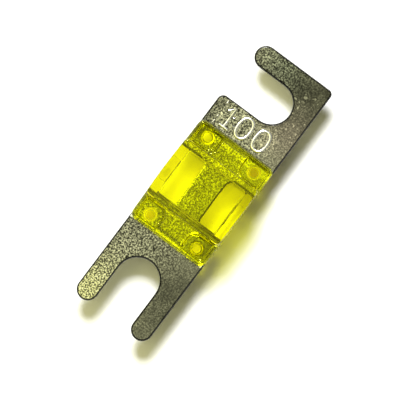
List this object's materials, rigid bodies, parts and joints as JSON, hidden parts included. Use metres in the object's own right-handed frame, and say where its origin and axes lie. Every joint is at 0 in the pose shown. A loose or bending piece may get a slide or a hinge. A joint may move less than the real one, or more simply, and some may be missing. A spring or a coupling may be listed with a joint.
{
  "type": "bolt-down fuse",
  "caption": "Flat bolt-down strip fuse: a plated element with a forked end and a side-entry hook, its narrow link enclosed in a clear yellow moulded housing.",
  "frame": {"origin": "middle of the element's length, width and thickness, which is the middle of the whole fuse's box", "axes": "+X along the fuse towards the hooked end, +Y towards the side on which the hook opens, +Z out of the stamped face"},
  "size_m": [0.042, 0.0122, 0.008],
  "materials": {
    "plated_metal": "bright nickel plating over a blanked strip, with a fine pebbled grain and rolled edges",
    "clear_yellow": "clear yellow moulded plastic, polished, see-through"
  },
  "bodies": {
    "root": {"fuse_element": "plated_metal", "upper_housing": "clear_yellow", "lower_housing": "clear_yellow"}
  },
  "joints": []
}
